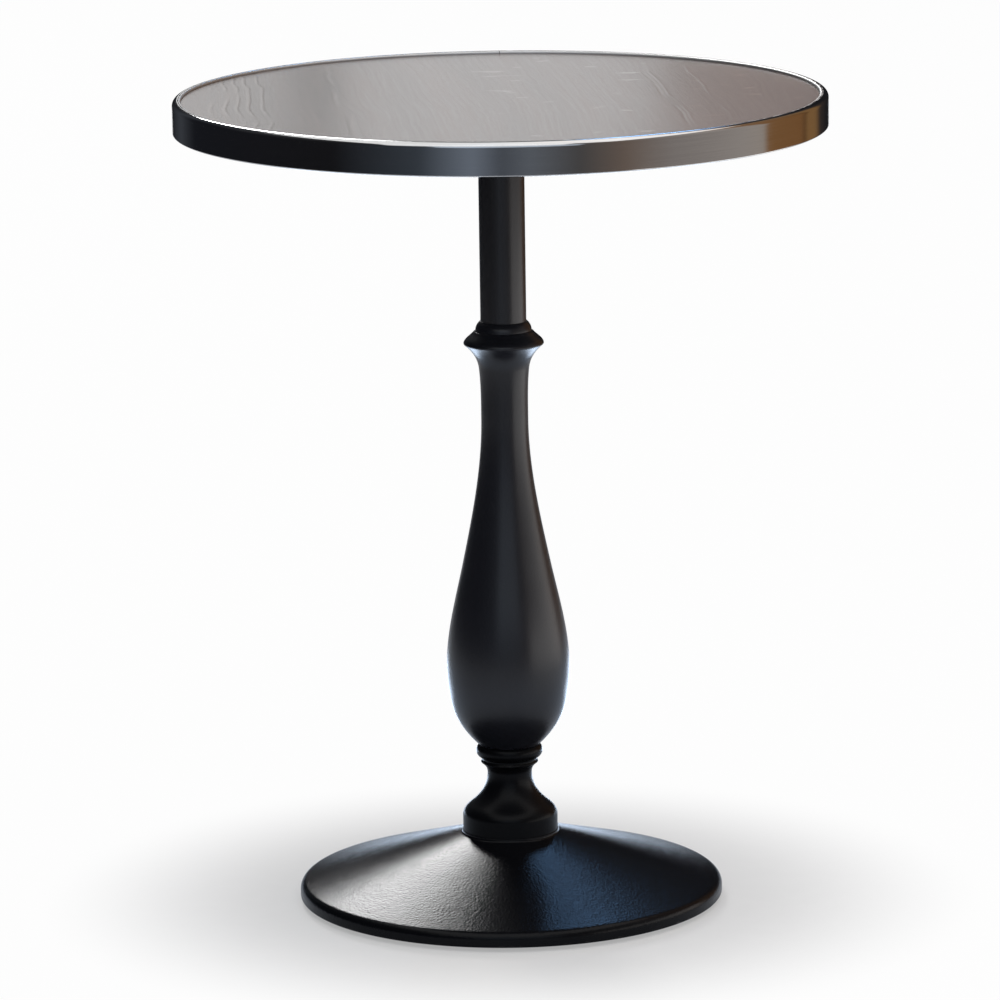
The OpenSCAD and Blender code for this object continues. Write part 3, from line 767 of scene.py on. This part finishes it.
HEAD_R = 5.0
SCREW_SHANK_R = 2.5
SCREW_END = 22.0
screw = turned_piece("screw", rounded_outline([
    (0.0, -3.0, 0), (2.6, -2.75, 3.0), (4.6, -1.3, 1.6), (HEAD_R, -0.3, 0.3), (HEAD_R, 0.0, 0.1),
    (SCREW_SHANK_R, 0.0, 0.2), (SCREW_SHANK_R, 20.0, 0), (0.5, SCREW_END, 0.1), (0.0, SCREW_END, 0),
]), segments=48, finish=zinc)

RECESS_ARM = 2.3
RECESS_HALF = 0.475
RECESS_MOUTH = -4.2
RECESS_FLOOR = -1.6
arm_corners = ((RECESS_ARM, -RECESS_HALF), (RECESS_ARM, RECESS_HALF), (RECESS_HALF, RECESS_HALF))
corners = []
for quarter in range(4):
    turn = Matrix.Rotation(math.radians(90 * quarter), 2)
    corners += [turn @ Vector(corner) * MM for corner in arm_corners]
bm = bmesh.new()
mouth = [bm.verts.new((*corner, RECESS_MOUTH * MM)) for corner in corners]
sunk = [bm.verts.new((*corner, RECESS_FLOOR * MM)) for corner in corners]
for i in range(len(corners)):
    bm.faces.new((mouth[i - 1], mouth[i], sunk[i], sunk[i - 1]))
bm.faces.new(reversed(mouth))
bm.faces.new(sunk)
cross_mesh = bpy.data.meshes.new("cross_recess")
bm.to_mesh(cross_mesh)
bm.free()
cross = bpy.data.objects.new("cross_recess", cross_mesh)
bpy.context.collection.objects.link(cross)
cut = screw.modifiers.new("recess", "BOOLEAN")
cut.object = cross
cut.operation = "DIFFERENCE"
cut.solver = "EXACT"
screw_mesh = bpy.data.meshes.new_from_object(screw.evaluated_get(bpy.context.evaluated_depsgraph_get()))
bpy.data.objects.remove(screw)
bpy.data.objects.remove(cross)
screw_mesh.set_sharp_from_angle(angle=math.radians(35))
screw_tree, screw_inputs = build_screw_tree()
ARM_UNDER = 721.8
INNER_SCREW_R = 107.0
SCREWS_APART = 60.0
screw_sizes = {"Arms": 4, "Inner": INNER_SCREW_R * MM, "Pitch": SCREWS_APART * MM, "Height": ARM_UNDER * MM,
               "Seed": 5, "Finish": zinc}
screws = grown("spider_wood_screws", screw_mesh, screw_tree,
               {screw_inputs[name]: value for name, value in screw_sizes.items()})
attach(screws, "table")
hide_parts("spider_screws")


# Board
# A round chipboard core, closed underneath by a matt brown balancing sheet. The edge band and the two
# sheets hide the chips, so only the sheet is seen, from below.

chips, tree, shader = new_finish("chipboard", Roughness=0.8)
place = node(tree, "ShaderNodeTexCoord").outputs["Object"]
flakes = node(tree, "ShaderNodeTexVoronoi", {"Vector": place, "Scale": 260.0}).outputs["Distance"]
feed(tree, colour_mix(tree, flakes, (0.30, 0.20, 0.11), (0.52, 0.38, 0.23)), shader["Base Color"])
feed_relief(tree, flakes, 0.2, shader)
BACKING_DARK, BACKING_PALE = (0.020, 0.016, 0.014), (0.036, 0.029, 0.025)
backing, tree, shader = new_finish("balancing_sheet", Specular_IOR_Level=0.35)
skin = group(tree, cast_skin, Grain_mm=0.6)
feed(tree, colour_mix(tree, skin["Cloud"], BACKING_DARK, BACKING_PALE), shader["Base Color"])
feed(tree, spread(tree, skin["Cloud"], 0.5, 0.68), shader["Roughness"])
feed_relief(tree, skin["Height"], 0.02, shader)
for cad, finish in (("board_core", chips), ("underside_laminate", backing)):
    nodes[cad].data.materials.clear()
    nodes[cad].data.materials.append(finish)


# Edge band
# Stainless sheet rolled round the board, folded over into a lip that stands above the top and turned
# under the board below. The ends are butted and welded at the back. Polished along its length, but not on
# the lip's inner wall, which the wheel doesn't reach.

LIP = 758.0
BOARD_FOOT = 728.8
BAND_SHEET = 1.2
BAND_R = 300.0
BAND_INNER_R = 298.8
LIP_R = 291.8
LIP_FOLD_R = 293.0
RETURN_R = 291.0
FOLD_FOOT = LIP - 3.3
LIP_UNDER = LIP - BAND_SHEET
RETURN_UNDER = BOARD_FOOT - BAND_SHEET
WELD_HALF = 0.35
STROKES_ACROSS = 3600.0
STROKES_ALONG = 14.0


def reach_from_axis(tree, spot):
    """Distance from the table's axis."""
    across = math_node(tree, "MULTIPLY", spot[1], spot[1])
    return math_node(tree, "SQRT", math_node(tree, "MULTIPLY_ADD", spot[0], spot[0], across))


steel, tree, shader = new_finish("satin_stainless", Metallic=1.0)
place = node(tree, "ShaderNodeTexCoord").outputs["Object"]
spot = axes_of(tree, place)
reach = reach_from_axis(tree, spot)
along = node(tree, "ShaderNodeCombineXYZ", {
    0: math_node(tree, "MULTIPLY", spot[0], STROKES_ALONG),
    1: math_node(tree, "MULTIPLY", spot[1], STROKES_ALONG),
    2: math_node(tree, "MULTIPLY", math_node(tree, "ADD", spot[2], reach), STROKES_ACROSS),
}).outputs[0]
strokes = node(tree, "ShaderNodeTexNoise", {"Vector": along, "Scale": 1.0, "Detail": 3.0}).outputs["Fac"]
clouds = node(tree, "ShaderNodeTexNoise", {"Vector": place, "Scale": 16.0, "Detail": 4.0}).outputs["Fac"]
on_seam = math_node(tree, "LESS_THAN", math_node(tree, "ABSOLUTE", spot[0]), WELD_HALF * MM)
weld = math_node(tree, "MULTIPLY", on_seam, math_node(tree, "GREATER_THAN", spot[1], 0.0))
polish = colour_mix(tree, strokes, (0.50, 0.50, 0.505), (0.66, 0.66, 0.655))
feed(tree, colour_mix(tree, weld, polish, (0.22, 0.21, 0.20)), shader["Base Color"])
sheen = math_node(tree, "ADD", spread(tree, clouds, 0.0, 0.03), spread(tree, strokes, 0.06, 0.11))
unpolished = node(tree, "ShaderNodeMapRange", {0: reach, 1: 0.2935, 2: 0.2925, 3: 0.0, 4: 0.45}).outputs[0]
welded_sheen = math_node(tree, "MULTIPLY_ADD", weld, 0.25, sheen)
feed(tree, math_node(tree, "ADD", welded_sheen, unpolished), shader["Roughness"])
feed_relief(tree, math_node(tree, "MULTIPLY_ADD", weld, -4.0, strokes), 0.003, shader)
band = turned_piece("steel_edge_band", rounded_outline([
    (RETURN_R, RETURN_UNDER, 0.4), (BAND_R, RETURN_UNDER, 1.2), (BAND_R, LIP, 5.0), (LIP_R, LIP, 2.0),
    (LIP_R, FOLD_FOOT, 0.15), (LIP_FOLD_R, FOLD_FOOT, 0.15), (LIP_FOLD_R, LIP_UNDER, 0.8),
    (BAND_INNER_R, LIP_UNDER, 3.8), (BAND_INNER_R, BOARD_FOOT, 0.5), (RETURN_R, BOARD_FOOT, 0.4),
]), segments=600, finish=steel)
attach(band, "table")
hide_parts("edge_band")


# Top sheet
# A decor sheet glued to the core inside the lip: dark brown wood grain that runs from front to back, with
# the grain pressed into the surface, a satin lacquer over it, and small flecks that use has polished. The
# pressed lines are painted paler as well, a painted highlight on their ridges.

wood, tree, shader = new_finish("dark_wood_sheet", Specular_IOR_Level=0.5)
place = node(tree, "ShaderNodeTexCoord").outputs["Object"]
lie = node(tree, "ShaderNodeMapping", {"Vector": place, "Rotation": (0, 0, math.radians(-5))}).outputs[0]


def stretched(vector, across, along, detail, start=0.0):
    """Noise drawn out along the grain, with so many features in a metre across it and along it."""
    drawn = node(tree, "ShaderNodeMapping",
                 {"Vector": vector, "Location": (start, start, 0), "Scale": (across, along, 1)}).outputs[0]
    made = node(tree, "ShaderNodeTexNoise",
                {"Vector": drawn, "Scale": 1.0, "Detail": detail, "Roughness": 0.55})
    return made.outputs["Fac"]


def eased(tree, value, low, high, start=0.0, end=1.0):
    """A value that goes smoothly from start to end while another goes from low to high."""
    return node(tree, "ShaderNodeMapRange", {0: value, 1: low, 2: high, 3: start, 4: end},
                interpolation_type="SMOOTHSTEP").outputs[0]


axes = axes_of(tree, lie)
wander = math_node(tree, "MULTIPLY_ADD", stretched(lie, 3.0, 4.5, 1.0), 0.030,
                   math_node(tree, "MULTIPLY", stretched(lie, 9.0, 20.0, 2.0, 2.2), 0.007))
WANDER_MIDDLE = 0.0185
across = math_node(tree, "ADD", axes[0], math_node(tree, "SUBTRACT", wander, WANDER_MIDDLE))
bent = node(tree, "ShaderNodeCombineXYZ", {0: across, 1: axes[1]}).outputs[0]
fibres = stretched(bent, 300.0, 6.0, 3.0)
streaks = stretched(bent, 24.0, 1.6, 2.0, 3.7)
broken = eased(tree, stretched(lie, 7.0, 9.0, 1.0, 8.1), 0.36, 0.56)


def grain_line(place, width, height):
    """One line of the grain, at its place across the sheet, raised or sunk by a share of the relief."""
    away = math_node(tree, "ABSOLUTE", math_node(tree, "SUBTRACT", across, place))
    ridge = math_node(tree, "SUBTRACT", 1.0, eased(tree, away, 0.0, width))
    return math_node(tree, "MULTIPLY", ridge, height)


raised_lines = 0.0
for place, width, height in (
    (-0.266, 0.0030, 0.7), (-0.253, 0.0028, 1.0), (-0.242, 0.0026, 0.9), (-0.232, 0.0030, 0.8),
    (-0.219, 0.0026, 0.6), (-0.150, 0.0040, 0.25), (-0.056, 0.0040, 0.25), (0.044, 0.0030, 0.15),
    (0.150, 0.0026, -0.25), (0.156, 0.0022, 0.2), (0.192, 0.0026, 0.3), (0.238, 0.0030, 0.2),
):
    raised_lines = math_node(tree, "ADD", raised_lines, grain_line(place, width, height))
raised_lines = math_node(tree, "MULTIPLY", raised_lines, broken)
flecks = math_node(tree, "MULTIPLY", eased(tree, stretched(lie, 40.0, 62.0, 0.0, 5.2), 0.72, 0.82),
                   eased(tree, axes[0], -0.06, 0.02))
DARK_FIBRE, PALE_FIBRE = (0.048, 0.030, 0.024), (0.098, 0.062, 0.049)
# Colours of the grain. The pale colour after the streak is a painted highlight for the grain lines.
STREAK, PAINTED_LINE_HIGHLIGHT = (0.040, 0.025, 0.020), (0.150, 0.110, 0.090)
ground = colour_mix(tree, eased(tree, fibres, 0.3, 0.7), DARK_FIBRE, PALE_FIBRE)
streaked = math_node(tree, "MULTIPLY", eased(tree, streaks, 0.35, 0.65), 0.6)
toned = colour_mix(tree, streaked, ground, STREAK)
# The grain lines, raised and sunk alike, are painted paler: a painted highlight on their ridges.
wear_and_highlight = math_node(tree, "MULTIPLY", math_node(tree, "ABSOLUTE", raised_lines), 0.5)
feed(tree, colour_mix(tree, wear_and_highlight, toned, PAINTED_LINE_HIGHLIGHT), shader["Base Color"])
lacquer = spread(tree, fibres, 0.20, 0.23)
feed(tree, math_node(tree, "MULTIPLY_ADD", flecks, -0.06, lacquer), shader["Roughness"])
feed_relief(tree, math_node(tree, "MULTIPLY_ADD", fibres, 0.16, raised_lines), 0.15, shader)
nodes["top_laminate"].data.materials.clear()
nodes["top_laminate"].data.materials.append(wood)


# Floor
# A long sheet of pale paper that the table stands on, plain white to the eye, with the table's shadow
# kept. The enamel and steel mirror it near the table, cooler and, in front, weaker. From below it is clear,
# so that the underside can be seen.

FLOOR_R = 2.3
FLOOR_HALF = 1.15
FLOOR_BACK = 9.0
FLOOR_DROP = 0.0002
paper = bpy.data.materials.new("paper")
paper.use_nodes = True
tree = paper.node_tree
tree.nodes.clear()
rays = node(tree, "ShaderNodeLightPath").outputs
place = node(tree, "ShaderNodeTexCoord").outputs["Object"]
fibre = node(tree, "ShaderNodeTexNoise", {"Vector": place, "Scale": 40.0}).outputs["Fac"]
pulp = colour_mix(tree, fibre, (0.60, 0.60, 0.60), (0.64, 0.64, 0.64))
sheet = node(tree, "ShaderNodeBsdfDiffuse", {"Color": pulp}).outputs[0]
cool = colour_mix(tree, rays["Is Camera Ray"], (0.70, 0.82, 1.0), (1.0, 1.0, 1.0))
white = node(tree, "ShaderNodeEmission", {"Color": cool, "Strength": 1.0}).outputs[0]
spot = axes_of(tree, place)
away = reach_from_axis(tree, spot)
far = eased(tree, away, 0.19, 0.45, 0.38, 0.97)
near = eased(tree, away, 0.65, 1.2, 1.0, 0.1)
behind = node(tree, "ShaderNodeMapRange", {0: spot[1], 1: -0.1, 2: 0.4, 3: 0.5, 4: 1.0}).outputs[0]
mirrored = math_node(tree, "MULTIPLY", math_node(tree, "MULTIPLY", near, behind),
                     math_node(tree, "MAXIMUM", rays["Is Glossy Ray"], rays["Is Transmission Ray"]))
seen = math_node(tree, "MAXIMUM", rays["Is Camera Ray"], mirrored)
glow = math_node(tree, "MULTIPLY", seen, far)
lit = node(tree, "ShaderNodeMixShader", {0: glow, 1: sheet, 2: white}).outputs[0]
clear = node(tree, "ShaderNodeBsdfTransparent").outputs[0]
under = node(tree, "ShaderNodeNewGeometry").outputs["Backfacing"]
tree.links.new(node(tree, "ShaderNodeMixShader", {0: under, 1: lit, 2: clear}).outputs[0],
               node(tree, "ShaderNodeOutputMaterial").inputs["Surface"])
floor_mesh = bpy.data.meshes.new("floor")
angles = [math.radians(degrees) for degrees in range(120, 421, 5)]
outline = [(FLOOR_R * math.cos(a), FLOOR_R * math.sin(a), 0) for a in angles]
outline += [(FLOOR_HALF, FLOOR_BACK, 0), (-FLOOR_HALF, FLOOR_BACK, 0)]
floor_mesh.from_pydata(outline, [], [range(len(outline))])
floor_mesh.materials.append(paper)
floor = bpy.data.objects.new("floor", floor_mesh)
floor.location.z = -FLOOR_DROP
bpy.context.collection.objects.link(floor)


# Light
# Soft boxes as in a small studio: overhead, below its front edge, in front, long and low on the right, two
# high behind and three further back like the panes of a window, with a bright board on the floor behind.
# The room is dark on the left, paler in front and on the right, then tan.

def soft_box(name, place, aim, width, height, radiance, colour=(1, 1, 1)):
    """An even, rectangular lamp that the camera doesn't see, in metres."""
    lamp = bpy.data.lights.new(name, "AREA")
    lamp.shape = "RECTANGLE"
    lamp.size = width
    lamp.size_y = height
    lamp.energy = radiance * math.pi * width * height
    lamp.color = colour
    box = bpy.data.objects.new(name, lamp)
    box.location = place
    box.rotation_mode = "QUATERNION"
    box.rotation_quaternion = (Vector(aim) - Vector(place)).to_track_quat("-Z", "Y")
    box.visible_camera = False
    bpy.context.collection.objects.link(box)


ON_BASE = (0, 0, 0.1)
ON_TOP = (0, 0, 0.75)
BLUE_SKY = (0.28, 0.55, 1.0)
COOL = (0.75, 0.86, 1.0)
COOLER = (0.66, 0.8, 1.0)
WARM = (1.0, 0.84, 0.78)
NEARLY_WHITE = (1.0, 0.98, 0.96)
soft_box("overhead", (0, -0.5, 3.4), (0, -0.3, 0), width=4.8, height=4.4, radiance=1.15)
soft_box("back_left", (-1.40, 6.0, 4.5), ON_BASE, width=1.2, height=2.6, radiance=18.0)
soft_box("back_right", (0.98, 6.0, 5.4), ON_BASE, width=0.46, height=2.6, radiance=8.0, colour=BLUE_SKY)
soft_box("window_left", (-0.71, 8.0, 2.3), ON_TOP, width=0.56, height=2.6, radiance=0.86)
soft_box("window_middle", (0.0, 8.0, 2.3), ON_TOP, width=0.74, height=2.6, radiance=1.04)
soft_box("window_right", (0.57, 8.0, 2.3), ON_TOP, width=0.38, height=2.6, radiance=0.54, colour=WARM)
soft_box("right", (1.0, -0.3, 0.26), (0, -0.3, 0.32), width=1.6, height=0.36, radiance=1.5,
         colour=NEARLY_WHITE)
soft_box("front", (0.15, -3.9, 1.7), (0, 0, 0.5), width=3.6, height=1.9, radiance=0.6, colour=COOL)
soft_box("front_high", (-0.7, -3.06, 2.91), (-0.7, -0.3, 0.75), width=4.2, height=1.4, radiance=1.0)
soft_box("low_board", (0, 0.66, 0.02), (0, 0.66, 1.0), width=0.9, height=0.5, radiance=5.5, colour=COOLER)

world = bpy.data.worlds.new("room")
bpy.context.scene.world = world
world.use_nodes = True
tree = world.node_tree
way = axes_of(tree, node(tree, "ShaderNodeTexCoord").outputs["Generated"])
bearing = math_node(tree, "ARCTAN2", way[0], math_node(tree, "MULTIPLY", way[1], -1.0))
round_room = node(tree, "ShaderNodeMapRange", {0: bearing, 1: -math.pi, 2: math.pi}).outputs[0]
walls = node(tree, "ShaderNodeValToRGB", {0: round_room})
stops = walls.color_ramp.elements
for degrees, colour in (
    (-168, (0.012, 0.013, 0.016)), (-150, (0.05, 0.055, 0.065)), (-135, (0.012, 0.013, 0.017)),
    (-60, (0.011, 0.011, 0.013)), (-28, (0.05, 0.06, 0.075)), (-10, (0.19, 0.22, 0.27)),
    (0, (0.085, 0.095, 0.115)), (10, (0.14, 0.155, 0.18)), (27, (0.085, 0.082, 0.083)),
    (44, (0.185, 0.14, 0.115)), (62, (0.28, 0.25, 0.235)), (92, (0.38, 0.34, 0.315)),
    (104, (0.40, 0.35, 0.31)), (107, (0.25, 0.125, 0.05)), (130, (0.23, 0.11, 0.042)),
    (133, (0.12, 0.06, 0.025)), (136, (0.26, 0.14, 0.055)), (144, (0.24, 0.13, 0.052)),
    (150, (0.035, 0.028, 0.026)), (162, (0.012, 0.012, 0.014)),
):
    stop = stops.new((degrees + 180) / 360)
    stop.color = (*colour, 1)
stops.remove(stops[0])
stops.remove(stops[-1])
high = node(tree, "ShaderNodeMapRange", {0: way[2], 1: 0.3, 2: 1.0, 3: 0.0, 4: 0.06}).outputs[0]
sky = node(tree, "ShaderNodeCombineXYZ", {0: high, 1: high, 2: high}).outputs[0]
room = node(tree, "ShaderNodeVectorMath", {0: walls.outputs[0], 1: sky}, operation="ADD").outputs[0]
to_the_eye = node(tree, "ShaderNodeLightPath").outputs["Is Camera Ray"]
feed(tree, colour_mix(tree, to_the_eye, room, (1.0, 1.0, 1.0)), tree.nodes["Background"].inputs["Color"])


# Camera
# Stands where the photograph was taken from, 5.7 m off and above the top, with a long lens and a slight
# lean.

TURN, DIP, LEAN = -0.00096, 0.2056, -0.0144
CAMERA_Y, CAMERA_Z = -5.6852, 1.5644
ahead = Vector((math.sin(TURN) * math.cos(DIP), math.cos(TURN) * math.cos(DIP), -math.sin(DIP)))
right = Vector((math.cos(TURN), -math.sin(TURN), 0))
up = right.cross(ahead)
right, up = (math.cos(LEAN) * right + math.sin(LEAN) * up, math.cos(LEAN) * up - math.sin(LEAN) * right)
camera_data = bpy.data.cameras.new("camera")
camera_data.sensor_width = 36.0
camera_data.lens = 225.7
camera_data.clip_end = 100.0
camera = bpy.data.objects.new("camera", camera_data)
camera.matrix_world = Matrix((
    (right.x, up.x, -ahead.x, 0.0), (right.y, up.y, -ahead.y, CAMERA_Y), (right.z, up.z, -ahead.z, CAMERA_Z),
    (0, 0, 0, 1),
))
bpy.context.collection.objects.link(camera)
bpy.context.scene.camera = camera
